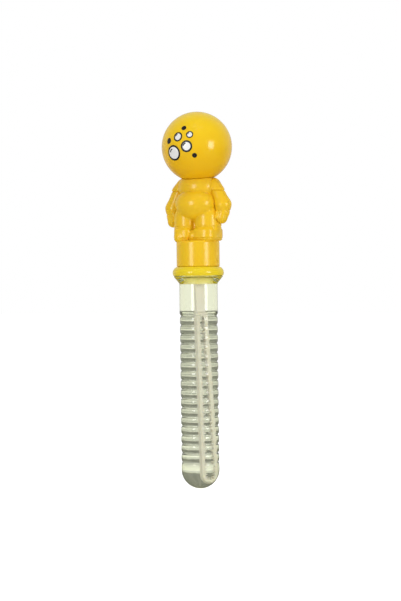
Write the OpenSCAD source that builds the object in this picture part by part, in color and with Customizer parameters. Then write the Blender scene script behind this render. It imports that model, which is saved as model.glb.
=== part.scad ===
// Bubble wand: a clear ribbed tube of bubble solution, closed by a push-in cap.
// The cap carries the long toothed loop inside the tube and a chubby ball-headed doll on top.
// Upright, the round tip of the tube is the origin, Z runs up the axis and the doll faces -Y.

/* [Tube] */
// Outside diameter of the smooth upper part of the tube
tube_d = 25.2; // [22:0.1:30]
// Wall of the tube
tube_wall = 2; // [1.4:0.1:2.6]
// Number of ring grooves
groove_n = 17; // [8:1:20]
// Distance from one ring groove to the next
groove_pitch = 6; // [4:0.1:7]
// Width of a ring groove
groove_w = 2.2; // [1.2:0.1:3]
// Depth of a ring groove
groove_depth = 0.7; // [0.3:0.05:0.9]
// How far the rib crests lie below the smooth part
crest_drop = 0.1; // [0:0.05:0.3]
// Height of the lowest groove above the round tip
first_groove_z = 17.6; // [16:0.1:24]
// Length of the smooth part above the ribs
smooth_l = 20.3; // [12:0.1:40]
// Diameter of the flared lip
lip_d = 32.2; // [29:0.1:38]
// Height of the flare under the lip
lip_h = 5; // [3:0.1:9]
// Height of the straight rim on the lip
rim_h = 0.8; // [0.4:0.1:2]

/* [Bubble solution] */
// Distance from the underside of the plug down to the liquid
head_space = 19.2; // [8:0.1:40]
// Room round the wand where it dips into the liquid
dip_room = 0.5; // [0.3:0.05:1]

/* [Cap] */
// Diameter of the rounded cap ring
ring_d = 33.7; // [31:0.1:40]
// Height of the cap ring
ring_h = 6; // [4:0.1:10]
// Height of the cap ring's widest part above its underside
belt_h = 1.9; // [1:0.1:3]
// Diameter of the collar under the doll
collar_d = 28.3; // [24:0.1:30]
// Height of the collar
collar_h = 17; // [12:0.1:24]
// Wall of the doll and its collar
shell_wall = 1.5; // [1:0.1:2]
// Rounding of the collar's top edge
collar_round = 1.6; // [0.8:0.1:2.4]
// Length of the plug in the tube
plug_l = 5.4; // [4:0.1:9]
// Wall of the cap ring's spigot
spigot_wall = 1.6; // [1:0.1:2.4]
// Height of the cap ring's spigot inside the collar
spigot_h = 11; // [6:0.1:11]
// Thickness of the cap ring's web
web_t = 2; // [1.4:0.1:3]
// Diameter of the plug's neck through the web
plug_neck_d = 12; // [10:0.1:14]
// Overhang of the plug's snap head above the web
snap_lip = 1.2; // [0.6:0.1:2]
// Thickness of the plug's snap head
snap_t = 2.4; // [1.6:0.1:4]

/* [Wand] */
// Width of the stem
stem_w = 6.6; // [5:0.1:8]
// Thickness of the stem and of the loop
blade_t = 3; // [2:0.1:3.6]
// Outside width of the loop at its round end
loop_w = 9.4; // [8.4:0.1:10]
// Width of the loop's legs
leg_w = 2; // [1.4:0.1:2.4]
// Distance from the underside of the plug down to the top of the loop's slot
slot_drop = 24; // [12:0.5:40]
// Gap between the top of the stem and the plug
stem_gap = 0.3; // [0.2:0.1:1]
// Room between the leaning loop's edge and the wall of the tube
loop_room = 1.3; // [1:0.1:2.5]
// Room between the loop's round end and the round bottom of the tube
end_room = 0.5; // [0.3:0.1:0.9]
// Pitch of the teeth inside the loop
tooth_pitch = 1.7; // [1.2:0.1:3]
// Height of the teeth inside the loop
tooth_h = 0.4; // [0.2:0.05:0.6]
// Diameter of the peg that holds the wand in the plug
peg_d = 5; // [4:0.1:6]
// How far the peg runs down into the stem
peg_root = 2; // [1:0.1:4]
// Turn of the loop about the tube's axis
wand_turn = 58; // [0:1:90]
// Direction that the wand leans to, from +X
lean_to = 29; // [0:1:90]

/* [Doll] */
// Half distance between the legs' middles
leg_x = 7.2; // [5:0.1:9]
// Radius of a leg
leg_r = 9.1; // [7:0.1:10]
// How far the doll's right leg stands ahead of its middle
right_ahead = 0.4; // [0:0.1:3]
// How far the doll's left leg stands behind its middle
left_behind = 0.5; // [0:0.1:2]
// Width of a shoe
shoe_w = 18; // [13:0.1:19]
// Length of a shoe
shoe_l = 21; // [15:0.1:24]
// How far the right toe, which hangs over the collar, lies out from its leg's middle
toe_out = 2.8; // [1:0.1:4]
// How far that toe lies ahead of its leg's middle
toe_ahead = 6.8; // [5:0.1:8]
// Half width of that toe
toe_x = 3.4; // [2.6:0.1:5]
// Half length of that toe
toe_y = 4.2; // [3:0.1:6]
// Half height of that toe
toe_z = 3.8; // [3:0.1:5]
// How far that toe hangs below the collar's top
toe_drop = 2; // [0.6:0.1:4]
// Height of a shoe
shoe_h = 8.6; // [6:0.1:11]
// Thickness of a shoe's sole
sole_t = 2; // [1:0.1:3]
// How deep the shoes sink into the collar's rounded top
shoe_sink = 0.6; // [0.2:0.1:1.2]
// Height of a shoe's upright side above its sole
shoe_side_h = 3; // [1:0.1:4]
// How much narrower a shoe is at its top, all round
shoe_draft = 1.2; // [0.4:0.1:3]
// Height of the hips above the collar
hip_h = 15; // [12:0.1:18]
// Height of the seat's middle above the collar
seat_h = 17; // [14:0.1:20]
// Radius of the seat between the legs
seat_r = 7; // [5:0.1:9]
// Half width of the flanks
flank_x = 15.4; // [12:0.1:17]
// Half depth of the flanks
flank_y = 9; // [7:0.1:11]
// Half height of the flanks
flank_z = 13; // [10:0.1:15]
// How far the flanks' middle lies behind the doll's
flank_back = 2; // [0:0.1:4]
// Height of the belly's middle above the collar
belly_h = 24; // [20:0.1:28]
// Half width of the belly
belly_x = 14; // [11:0.1:16]
// Half depth of the belly
belly_y = 11.6; // [9:0.1:14]
// Half height of the belly
belly_z = 10.8; // [8:0.1:13]
// How far the belly stands forward
belly_out = 2.6; // [0:0.1:5]
// Height of the chest's middle above the collar
chest_h = 35; // [31:0.1:39]
// Half width of the chest
chest_x = 13.2; // [10:0.1:15]
// Half depth of the chest
chest_y = 10.4; // [8:0.1:13]
// Half height of the chest
chest_z = 11; // [8:0.1:13]
// Height of the neckline above the chest's middle
neck_rise = 7.5; // [6:0.1:9]
// Half distance between the sleeves' cuffs
cuff_x = 14; // [11:0.1:16]
// Height of the shoulders above the collar
shoulder_h = 35.4; // [32:0.1:40]
// How far the shoulders slope in towards the neck
shoulder_slope = 3; // [0:0.1:4]
// Radius of a shoulder
shoulder_r = 6.4; // [5:0.1:8]
// Radius of a sleeve at its cuff
cuff_r = 5.3; // [4:0.1:7]
// Length of a sleeve below the shoulder
sleeve_l = 3.6; // [2:0.1:6]
// Radius of an arm inside its sleeve
elbow_r = 4.4; // [3:0.1:6]
// How far the arms reach past the sides of the head
arm_out = 0.4; // [-2:0.1:3]
// Height of the left forearm's fullest part above the collar
forearm_h = 23.2; // [20:0.1:28]
// Radius of a forearm
forearm_r = 5.2; // [4:0.1:7]
// Height of the left wrist above the collar
wrist_h = 19.4; // [18:0.1:23]
// Radius of a wrist
wrist_r = 4.5; // [3:0.1:6]
// How much slimmer a hand starts than its wrist
wrist_step = 0.4; // [0.1:0.1:1]
// Height of the left hand above the collar
hand_h = 15; // [12:0.1:18]
// Radius of a hand
hand_r = 3.8; // [3:0.1:5]
// How far the hands turn in
hand_in = 0.6; // [0:0.1:2]
// How much lower the right forearm and hand hang than the left ones
right_low = 1.8; // [0:0.1:3]
// How far the shoulders lie behind the doll's middle
shoulder_back = 2.3; // [0:0.1:3]
// How far the arms lie behind the doll's middle
arm_back = 1.6; // [0:0.1:3]
// How far the hands lie behind the doll's middle
hand_back = 0.3; // [0:0.1:2]
// Diameter of the pegs that line up the doll's two halves
dowel_d = 2.4; // [1.6:0.1:3]
// Length of those pegs beyond the front half
dowel_l = 3; // [2:0.1:4]
// How deep those pegs are rooted in the front half
dowel_root = 1.5; // [1:0.1:2.5]

/* [Head] */
// Diameter of the ball head
head_d = 46.8; // [42:0.1:52]
// Wall of the ball head
head_wall = 1.6; // [1.2:0.1:2.4]
// How deep the head sinks into the doll's neckline
head_sink = 4.6; // [2:0.1:5.4]
// Diameter of the neck pin
neck_d = 9.8; // [7:0.1:12]
// Height of the bush round the neck pin inside the head
bush_h = 4.4; // [3:0.1:7]
// Wall of that bush
bush_wall = 2; // [1.4:0.1:3]
// Overhang of the neck pin's two flanges
pin_lip = 1.5; // [1:0.1:2.2]
// Thickness of the neck pin's two flanges
pin_flange_t = 2.2; // [1.4:0.1:3]
// Length of the neck pin held in the chest
pin_hold = 5.6; // [4:0.1:8]

/* [Fits] */
// Radial clearance of the plug in the tube and of the head on its pin
run_fit = 0.05; // [0.02:0.01:0.1]
// Gap between pieces that are glued or snapped together
seat_fit = 0.1; // [0.05:0.01:0.2]
// Gap between the turning head and the neckline
head_gap = 0.3; // [0.2:0.05:0.6]

/* [Hidden] */

form_fn = 32;
small_fn = 24;
far = 2 * (head_d + collar_d);

tube_r = tube_d / 2;
crest_r = tube_r - crest_drop;
bore_r = tube_r - tube_wall;
rib_top_z = first_groove_z + (groove_n - 1) * groove_pitch + groove_w / 2;
lip_z = rib_top_z + smooth_l + lip_h;
groove_r = (pow(groove_w / 2, 2) + pow(groove_depth, 2)) / (2 * groove_depth);

ring_r = ring_d / 2;
ring_z = lip_z + run_fit;
collar_r = collar_d / 2;
collar_z = ring_z + ring_h;
doll_z = collar_z + collar_h;
collar_bore_r = collar_r - shell_wall;
spigot_r = collar_bore_r - seat_fit;
plug_r = bore_r - run_fit;
plug_z = ring_z - plug_l;
neck_hole_r = plug_neck_d / 2 + seat_fit;
snap_z = ring_z + web_t + seat_fit;

fill_z = plug_z - head_space;
peg_top_z = snap_z + snap_t / 2;

// The wand leans until its round end is the given room from the wall of the tube.
// Along its own width and thickness, the end then lies this far off the axis.
lean_u = cos(lean_to - wand_turn);
lean_n = sin(lean_to - wand_turn);
end_reach = loop_w / 2 * abs(lean_u) + blade_t / 2 * abs(lean_n);
end_free = pow(bore_r - loop_room, 2) - pow(loop_w / 2, 2) - pow(blade_t / 2, 2);
end_off = sqrt(pow(end_reach, 2) + end_free) - end_reach;
off_u = end_off * lean_u;
off_n = end_off * lean_n;
// Height of the middle of the loop's round end, where that end clears the round bottom
end_span = sqrt(pow(bore_r - end_room, 2) - pow(abs(off_n) + blade_t / 2, 2)) - loop_w / 2;
end_z = crest_r - sqrt(pow(end_span, 2) - pow(off_u, 2));
wand_lean = atan(end_off / (peg_top_z - end_z));

blade_top_z = plug_z - stem_gap;
blade_l = blade_top_z - end_z + loop_w / 2;
slot_l = blade_l - slot_drop;
slot_top_w = stem_w - 2 * leg_w;
slot_end_w = loop_w - 2 * leg_w;

head_r = head_d / 2;
neckline_z = doll_z + chest_h + neck_rise;
head_z = neckline_z + head_r - head_sink;
head_bottom_z = head_z - head_r;
forearm_x = head_r + arm_out - forearm_r;
neck_r = neck_d / 2;
bush_bore_r = neck_r + run_fit;
bush_r = bush_bore_r + bush_wall;
bush_base_z = head_z - sqrt(pow(head_r - head_wall / 2, 2) - pow(bush_r, 2));
bush_top_z = head_bottom_z + bush_h;
pin_top_z = bush_top_z + head_gap;
pin_flange_r = neck_r + pin_lip;
pin_base_z = head_bottom_z - head_gap - pin_hold;

// Length of the loop's inner edge down one leg, and the number of teeth along it
edge_l = slot_l - loop_w / 2;
edge_teeth = floor(edge_l / tooth_pitch);
// Number of teeth round the loop's end
end_teeth = floor(PI * slot_end_w / 2 / tooth_pitch);

module tube_outside() {
    translate([0, 0, crest_r]) sphere(crest_r, $fn = 96);
    translate([0, 0, crest_r]) cylinder(h = rib_top_z - crest_r, r = crest_r, $fn = 96);
    rotate_extrude($fn = 96) polygon([
        [0, rib_top_z],
        [tube_r, rib_top_z],
        [tube_r, lip_z - lip_h],
        [lip_d / 2, lip_z - rim_h],
        [lip_d / 2, lip_z],
        [0, lip_z],
    ]);
}

module ring_groove(z) {
    rotate_extrude($fn = 96)
        translate([crest_r - groove_depth + groove_r, z]) circle(groove_r, $fn = 48);
}

module tube_inside(r, top_z) {
    translate([0, 0, crest_r]) sphere(r, $fn = 96);
    translate([0, 0, crest_r]) cylinder(h = top_z - crest_r, r = r, $fn = 96);
}

module tube() {
    color([0.86, 0.9, 0.74, 0.45]) difference() {
        tube_outside();
        for (i = [0 : groove_n - 1]) ring_groove(first_groove_z + i * groove_pitch);
        tube_inside(bore_r, lip_z + rim_h);
    }
}

// Room that the leaning wand sweeps as it is drawn up out of the liquid
module wand_path() {
    half_w = loop_w / 2 + dip_room;
    half_t = blade_t / 2 + dip_room;
    base_z = end_z - half_w;
    rotate([0, 0, wand_turn])
        translate([min(off_u, 0) - half_w, min(off_n, 0) - half_t, base_z])
            cube([2 * half_w + abs(off_u), 2 * half_t + abs(off_n), plug_z - base_z]);
}

module bubble_solution() {
    color([0.84, 0.88, 0.8, 0.5]) difference() {
        tube_inside(bore_r - run_fit, fill_z);
        wand_path();
    }
}

module plug() {
    color([0.9, 0.86, 0.72]) difference() {
        union() {
            translate([0, 0, plug_z]) cylinder(h = plug_l, r = plug_r, $fn = 96);
            translate([0, 0, plug_z]) cylinder(h = snap_z - plug_z, r = plug_neck_d / 2, $fn = 64);
            translate([0, 0, snap_z]) cylinder(h = snap_t, r = neck_hole_r + snap_lip, $fn = 64);
        }
        translate([0, 0, plug_z - plug_l])
            cylinder(h = peg_top_z + seat_fit - plug_z + plug_l, d = peg_d + 2 * seat_fit, $fn = 48);
    }
}

// Half of the slot's width at a distance below its top
function slot_half(d) = (slot_top_w + (slot_end_w - slot_top_w) * min(1, d / edge_l)) / 2;

// The blade lies in a plane with its top at zero and its round end down
module blade_outline() {
    half_top = stem_w / 2;
    half_end = loop_w / 2;
    polygon([
        [-half_top, 0],
        [half_top, 0],
        [half_top, -slot_drop],
        [half_end, half_end - blade_l],
        [-half_end, half_end - blade_l],
        [-half_top, -slot_drop],
    ]);
    translate([0, half_end - blade_l]) circle(half_end, $fn = 64);
}

module slot_outline() {
    half_end = slot_end_w / 2;
    half_top = slot_top_w / 2;
    end_y = loop_w / 2 - blade_l;
    polygon([
        [-half_top, -slot_drop],
        [half_top, -slot_drop],
        [half_end, end_y],
        [-half_end, end_y],
    ]);
    translate([0, end_y]) circle(half_end, $fn = 64);
    translate([0, -slot_drop]) circle(half_top, $fn = 48);
}

// A tooth is a small wedge that points into the slot
module tooth() {
    root = tooth_h / 2;
    half = tooth_pitch / 4;
    polygon([[-root, -half], [tooth_h, 0], [-root, half]]);
}

module teeth() {
    end_y = loop_w / 2 - blade_l;
    for (i = [1 : edge_teeth - 1], side = [-1, 1])
        translate([side * slot_half(i * tooth_pitch), -slot_drop - i * tooth_pitch])
            mirror([side > 0 ? 1 : 0, 0])
                tooth();
    for (i = [0 : end_teeth])
        translate([0, end_y])
            rotate(180 + i * 180 / end_teeth)
                translate([slot_end_w / 2, 0])
                    mirror([1, 0])
                        tooth();
}

module blade() {
    rotate([90, 0, 0])
        translate([0, 0, -blade_t / 2])
            linear_extrude(blade_t) {
                difference() {
                    blade_outline();
                    slot_outline();
                }
                teeth();
            }
}

module wand() {
    color([0.9, 0.89, 0.84, 0.8]) {
        translate([0, 0, blade_top_z - peg_root])
            cylinder(h = peg_top_z - blade_top_z + peg_root, d = peg_d, $fn = 48);
        translate([0, 0, peg_top_z])
            rotate([0, 0, lean_to])
                rotate([0, -wand_lean, 0])
                    rotate([0, 0, wand_turn - lean_to])
                        translate([0, 0, blade_top_z - peg_top_z])
                            blade();
    }
}

// The ring bulges from its top to its flat underside, which covers the tube's lip
module cap_ring() {
    round_r = ring_h - belt_h;
    color([0.9, 0.81, 0.16]) difference() {
        union() {
            translate([0, 0, ring_z]) cylinder(h = ring_h, r = ring_r - round_r, $fn = 96);
            translate([0, 0, ring_z + belt_h])
                rotate_extrude($fn = 96) translate([ring_r - round_r, 0]) circle(round_r, $fn = 48);
            translate([0, 0, ring_z]) cylinder(h = ring_h + spigot_h, r = spigot_r, $fn = 96);
        }
        translate([0, 0, ring_z - ring_h]) cylinder(h = ring_h, r = ring_d, $fn = 96);
        translate([0, 0, ring_z + web_t])
            cylinder(h = ring_h + spigot_h, r = spigot_r - spigot_wall, $fn = 96);
        translate([0, 0, ring_z - web_t]) cylinder(h = 3 * web_t, r = neck_hole_r, $fn = 64);
    }
}

module ball(x, y, z, r) {
    translate([x, y, z]) sphere(r, $fn = form_fn);
}

module egg(x, y, z, size) {
    translate([x, y, z]) scale(size) sphere(1, $fn = 2 * form_fn);
}

// The doll's right side is at -X, so its side is -1.
// Level from which the heights of a forearm and its hand are measured
function arm_z(side) = side < 0 ? doll_z - right_low : doll_z;

// Place of a leg along Y
function leg_y(side) = side < 0 ? -right_ahead : left_behind;

module arm(side) {
    shoulder_z = doll_z + shoulder_h;
    hull() {
        ball(side * (cuff_x - shoulder_slope), shoulder_back, shoulder_z, shoulder_r);
        ball(side * cuff_x, arm_back, shoulder_z - sleeve_l, cuff_r);
    }
    hull() {
        ball(side * cuff_x, arm_back, shoulder_z - sleeve_l / 2, elbow_r);
        ball(side * forearm_x, arm_back, arm_z(side) + forearm_h, forearm_r);
    }
    hull() {
        ball(side * forearm_x, arm_back, arm_z(side) + forearm_h, forearm_r);
        ball(side * forearm_x, arm_back, arm_z(side) + wrist_h, wrist_r);
    }
    hull() {
        ball(side * forearm_x, arm_back, arm_z(side) + wrist_h, wrist_r - wrist_step);
        ball(side * (forearm_x - hand_in), hand_back, arm_z(side) + hand_h, hand_r);
    }
}

module leg(side) {
    hull() {
        ball(side * leg_x, leg_y(side), doll_z + hip_h, leg_r);
        translate([side * leg_x, leg_y(side), doll_z + shoe_h])
            cylinder(h = sole_t, r = leg_r, $fn = form_fn);
    }
}

// The right shoe's round toe
module toe() {
    egg(-leg_x - toe_out, leg_y(-1) - toe_ahead, doll_z + toe_z - toe_drop, [toe_x, toe_y, toe_z]);
}

// Footprint of a shoe, drawn in all round by the given amount
module shoe_slice(side, z, h, drawn_in) {
    translate([side * leg_x, leg_y(side), z])
        scale([shoe_w / 2 - drawn_in, shoe_l / 2 - drawn_in, 1])
            cylinder(h = h, r = 1, $fn = form_fn);
}

module shoe(side) {
    hull() {
        shoe_slice(side, doll_z - shoe_sink, sole_t, shoe_draft / 2);
        shoe_slice(side, doll_z + sole_t, shoe_side_h, 0);
        shoe_slice(side, doll_z + shoe_h - sole_t, sole_t, shoe_draft);
    }
}

module collar_outside() {
    inner = collar_r - collar_round;
    translate([0, 0, collar_z]) cylinder(h = collar_h - collar_round, r = collar_r, $fn = 2 * form_fn);
    translate([0, 0, collar_z]) cylinder(h = collar_h, r = inner, $fn = 2 * form_fn);
    translate([0, 0, doll_z - collar_round])
        rotate_extrude($fn = 2 * form_fn) translate([inner, 0]) circle(collar_round, $fn = small_fn);
}

module doll_form() {
    collar_outside();
    for (side = [-1, 1]) {
        shoe(side);
        leg(side);
        arm(side);
    }
    toe();
    egg(0, flank_back, doll_z + belly_h, [flank_x, flank_y, flank_z]);
    egg(0, -belly_out, doll_z + belly_h, [belly_x, belly_y, belly_z]);
    egg(0, 0, doll_z + chest_h, [chest_x, chest_y, chest_z]);
    hull() {
        ball(0, 0, doll_z + seat_h, seat_r);
        ball(0, 0, doll_z + chest_h, chest_y - shell_wall);
    }
}

// Everything hollow inside the closed doll: collar, body and the seat of the neck pin
module doll_hollow() {
    hollow_r = chest_y - 2 * shell_wall;
    hollow_top = pin_base_z - pin_flange_t - shell_wall - hollow_r;
    translate([0, 0, collar_z - collar_h])
        cylinder(h = 2 * collar_h - shell_wall, r = collar_bore_r, $fn = 2 * form_fn);
    hull() {
        ball(0, 0, doll_z + seat_h, seat_r - shell_wall);
        ball(0, 0, hollow_top, hollow_r);
    }
    translate([0, 0, pin_base_z - seat_fit])
        cylinder(h = pin_flange_t + 2 * seat_fit, r = pin_flange_r + seat_fit, $fn = 2 * form_fn);
    translate([0, 0, pin_base_z]) cylinder(h = far, r = neck_r + seat_fit, $fn = 2 * form_fn);
    translate([0, 0, head_z]) sphere(head_r + head_gap, $fn = 3 * form_fn);
}

// Middles of the pegs that line up the two halves, in the plane of the parting line
dowels = [
    for (side = [-1, 1]) each [
        [side * forearm_x, arm_z(side) + forearm_h],
        [side * (leg_x + leg_r / 2), doll_z + shoe_h],
    ],
];

module dowel(at, spare) {
    translate([at[0], -dowel_root, at[1]])
        rotate([-90, 0, 0])
            cylinder(h = dowel_root + dowel_l + spare, d = dowel_d + 2 * spare, $fn = small_fn);
}

module front_half() {
    translate([-far / 2, -far, 0]) cube([far, far, 2 * head_z]);
}

module figure_front() {
    color([0.93, 0.74, 0.13]) {
        difference() {
            intersection() {
                doll_form();
                front_half();
            }
            doll_hollow();
        }
        for (at = dowels) dowel(at, 0);
    }
}

module figure_back() {
    color([0.92, 0.72, 0.12]) difference() {
        doll_form();
        front_half();
        doll_hollow();
        for (at = dowels) dowel(at, seat_fit);
    }
}

module neck_pin() {
    color([0.88, 0.68, 0.12]) {
        translate([0, 0, pin_base_z]) cylinder(h = pin_flange_t, r = pin_flange_r, $fn = 64);
        translate([0, 0, pin_base_z])
            cylinder(h = pin_top_z - pin_base_z + pin_flange_t, r = neck_r, $fn = 64);
        translate([0, 0, pin_top_z]) cylinder(h = pin_flange_t, r = pin_flange_r, $fn = 64);
    }
}

module head() {
    color([0.95, 0.78, 0.16]) difference() {
        union() {
            difference() {
                translate([0, 0, head_z]) sphere(head_r, $fn = 128);
                translate([0, 0, head_z]) sphere(head_r - head_wall, $fn = 128);
            }
            translate([0, 0, bush_base_z]) cylinder(h = bush_top_z - bush_base_z, r = bush_r, $fn = 64);
        }
        translate([0, 0, head_bottom_z - bush_h])
            cylinder(h = 2 * bush_h + head_wall, r = bush_bore_r, $fn = 64);
    }
}

tube();
bubble_solution();
plug();
wand();
cap_ring();
figure_front();
figure_back();
neck_pin();
head();
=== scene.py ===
import math

import bmesh
import bpy
import numpy as np
from mathutils import Matrix, Vector


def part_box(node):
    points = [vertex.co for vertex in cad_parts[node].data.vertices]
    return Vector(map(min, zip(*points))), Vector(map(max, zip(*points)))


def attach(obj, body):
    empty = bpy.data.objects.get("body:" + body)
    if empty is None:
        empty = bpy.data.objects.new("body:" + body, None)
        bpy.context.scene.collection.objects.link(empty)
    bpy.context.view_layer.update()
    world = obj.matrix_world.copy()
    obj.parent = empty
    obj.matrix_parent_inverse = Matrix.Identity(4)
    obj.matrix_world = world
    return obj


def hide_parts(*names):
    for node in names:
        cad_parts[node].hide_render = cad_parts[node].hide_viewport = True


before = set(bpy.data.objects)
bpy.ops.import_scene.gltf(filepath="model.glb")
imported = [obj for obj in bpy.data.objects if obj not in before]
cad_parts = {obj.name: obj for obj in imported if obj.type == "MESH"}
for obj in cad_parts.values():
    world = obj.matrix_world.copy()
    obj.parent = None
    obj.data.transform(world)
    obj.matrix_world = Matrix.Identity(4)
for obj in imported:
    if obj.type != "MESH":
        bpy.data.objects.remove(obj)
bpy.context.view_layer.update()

# Sizes are in millimetres and become metres when a mesh is made
MM = 0.001
# A radius or slope under this counts as nothing
TINY = 1e-6


def low(node):
    return [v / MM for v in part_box(node)[0]]


def high(node):
    return [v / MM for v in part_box(node)[1]]


# The tube and what it holds
PLUG_GAP = 0.05
TUBE_R = 12.6
CREST_R = 12.5
BORE_R = high("plug")[0] + PLUG_GAP
LIP_Z = high("tube")[2]
LIP_R = high("tube")[0]
LIP_H = 5.0
FILL_Z = high("bubble_solution")[2]

# The cap
RING_Z = low("cap_ring")[2]
RING_R = high("cap_ring")[0]
COLLAR_Z = low("figure_front")[2]
RING_H = COLLAR_Z - RING_Z
RING_TOP_Z = high("cap_ring")[2]
COLLAR_R = 14.15
COLLAR_H = 17.0
SHELL_WALL = 1.5

# The doll
DOLL_Z = COLLAR_Z + COLLAR_H
HEAD_R = (high("head")[2] - low("head")[2]) / 2
HEAD_Z = (high("head")[2] + low("head")[2]) / 2


# Meshes

def new_piece(name, points_mm, faces, material):
    """A smooth-shaded mesh object at the origin, from points in millimetres."""
    mesh = bpy.data.meshes.new(name)
    mesh.from_pydata((np.asarray(points_mm) * MM).tolist(), [], [list(f) for f in faces])
    return finish_piece(name, mesh, material)


def finish_piece(name, mesh, material):
    mesh.validate()
    mesh.polygons.foreach_set("use_smooth", [True] * len(mesh.polygons))
    mesh.materials.clear()
    mesh.materials.append(material)
    piece = bpy.data.objects.new(name, mesh)
    bpy.context.scene.collection.objects.link(piece)
    return piece


def face_outwards(mesh):
    work = bmesh.new()
    work.from_mesh(mesh)
    bmesh.ops.recalc_face_normals(work, faces=work.faces[:])
    work.to_mesh(mesh)
    work.free()


def smooth_by_angle(piece, degrees=35):
    """Keeps the piece's real edges sharp and the rest smooth."""
    piece.data.set_sharp_from_angle(angle=math.radians(degrees))


def arc(centre, radius, start, end, steps):
    """Points on an arc in the half plane of radius and height, with its angles in degrees."""
    turns = np.radians(np.linspace(start, end, steps + 1))
    return [(centre[0] + radius * math.cos(a), centre[1] + radius * math.sin(a)) for a in turns]


def rows(start, end, step):
    """Points on a straight line, about one step apart, with both ends."""
    count = max(1, round(math.dist(start, end) / step))
    return [tuple(np.array(start) + (np.array(end) - start) * i / count) for i in range(count + 1)]


def lathe(name, outline, material, segments=144):
    """Turns an outline of (radius, height) about Z. A point on the axis becomes a pole.

    An outline that starts on the axis ends on it too. Any other one is closed.
    """
    points, rings = [], []
    turns = [2 * math.pi * i / segments for i in range(segments)]
    for radius, height in outline:
        if radius < TINY:
            rings.append([len(points)])
            points.append((0, 0, height))
            continue
        rings.append(list(range(len(points), len(points) + segments)))
        points += [(radius * math.cos(a), radius * math.sin(a), height) for a in turns]
    on_axis = len(rings[0]) == 1
    pairs = zip(rings, rings[1:] if on_axis else rings[1:] + rings[:1])
    faces = []
    for here, there in pairs:
        for i in range(segments):
            j = (i + 1) % segments
            corners = [here[i % len(here)], here[j % len(here)], there[j % len(there)], there[i % len(there)]]
            faces.append(list(dict.fromkeys(corners)))
    piece = new_piece(name, points, faces, material)
    face_outwards(piece.data)
    return piece


# Geometry Nodes

def geometry_tree(name, sizes):
    """A tree with a geometry in and out and a named length, count or material for each size."""
    kinds = {float: "NodeSocketFloat", int: "NodeSocketInt"}
    tree = bpy.data.node_groups.new(name, "GeometryNodeTree")
    tree.interface.new_socket("Geometry", in_out="INPUT", socket_type="NodeSocketGeometry")
    for label, value in sizes.items():
        kind = kinds.get(type(value), "NodeSocketMaterial")
        tree.interface.new_socket(label, in_out="INPUT", socket_type=kind)
    tree.interface.new_socket("Geometry", in_out="OUTPUT", socket_type="NodeSocketGeometry")
    return tree


def add_node(tree, kind, operation=None, **inputs):
    """A node with its inputs set: a socket is linked and any other value is written in.

    An input goes by its name, with _ for a space, or by its number, as i0, i1 and so on.
    """
    node = tree.nodes.new(kind)
    if operation:
        node.operation = operation
    for label, value in inputs.items():
        key = int(label[1:]) if label[0] == "i" and label[1:].isdigit() else label.replace("_", " ")
        if isinstance(value, bpy.types.NodeSocket):
            tree.links.new(value, node.inputs[key])
        else:
            node.inputs[key].default_value = value
    return node


def maths(tree, operation, *values):
    inputs = {f"i{i}": v for i, v in enumerate(values)}
    return add_node(tree, "ShaderNodeMath", operation, **inputs).outputs[0]


def spread(tree, value, start, end, first, last):
    """Runs from the first level to the last while the value runs from start to end."""
    return add_node(tree, "ShaderNodeMapRange", Value=value, From_Min=start, From_Max=end,
                    To_Min=first, To_Max=last).outputs[0]


def end_tree(tree, geometry, material):
    """Ends the tree in real geometry with its material."""
    real = add_node(tree, "GeometryNodeRealizeInstances", Geometry=geometry)
    made = add_node(tree, "GeometryNodeSetMaterial", Geometry=real.outputs[0], Material=material)
    out = tree.nodes.new("NodeGroupOutput")
    tree.links.new(made.outputs[0], out.inputs[0])


def run_tree(piece, tree, sizes):
    """The plain mesh that the tree makes of the piece, which is then removed."""
    modifier = piece.modifiers.new(tree.name, "NODES")
    modifier.node_group = tree
    for item in tree.interface.items_tree:
        if item.in_out == "INPUT" and item.name in sizes:
            modifier[item.identifier] = sizes[item.name]
    bpy.context.view_layer.update()
    evaluated = piece.evaluated_get(bpy.context.evaluated_depsgraph_get())
    mesh = bpy.data.meshes.new_from_object(evaluated)
    piece.modifiers.remove(modifier)
    bpy.data.objects.remove(piece)
    return mesh


# Materials

def moulded_surface():
    """Shared finish of a moulded plastic: slow colour drift, uneven gloss and a faint orange peel."""
    group = bpy.data.node_groups.new("moulded_surface", "ShaderNodeTree")
    for label, kind in (("Colour", "Color"), ("Drift colour", "Color"), ("Drift", "Float"),
                        ("Gloss low", "Float"), ("Gloss high", "Float")):
        group.interface.new_socket(label, in_out="INPUT", socket_type=f"NodeSocket{kind}")
    for label, kind in (("Colour", "Color"), ("Roughness", "Float"), ("Height", "Float")):
        group.interface.new_socket(label, in_out="OUTPUT", socket_type=f"NodeSocket{kind}")
    given = group.nodes.new("NodeGroupInput")
    place = group.nodes.new("ShaderNodeTexCoord").outputs["Object"]
    drift = add_node(group, "ShaderNodeTexNoise", Vector=place, Scale=55.0, Detail=3.0)
    gloss = add_node(group, "ShaderNodeTexNoise", Vector=place, Scale=210.0, Detail=4.0)
    peel = add_node(group, "ShaderNodeTexNoise", Vector=place, Scale=900.0, Detail=2.0)
    share = maths(group, "MULTIPLY", drift.outputs["Fac"], given.outputs["Drift"])
    mixed = group.nodes.new("ShaderNodeMix")
    mixed.data_type = "RGBA"
    group.links.new(share, mixed.inputs["Factor"])
    group.links.new(given.outputs["Colour"], mixed.inputs["A"])
    group.links.new(given.outputs["Drift colour"], mixed.inputs["B"])
    rough = spread(group, gloss.outputs["Fac"], 0.0, 1.0, given.outputs["Gloss low"],
                   given.outputs["Gloss high"])
    out = group.nodes.new("NodeGroupOutput")
    group.links.new(mixed.outputs["Result"], out.inputs["Colour"])
    group.links.new(rough, out.inputs["Roughness"])
    group.links.new(peel.outputs["Fac"], out.inputs["Height"])
    return group


MOULDED = moulded_surface()


def new_material(name):
    material = bpy.data.materials.new(name)
    material.use_nodes = True
    tree = material.node_tree
    return material, tree, tree.nodes["Principled BSDF"]


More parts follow.
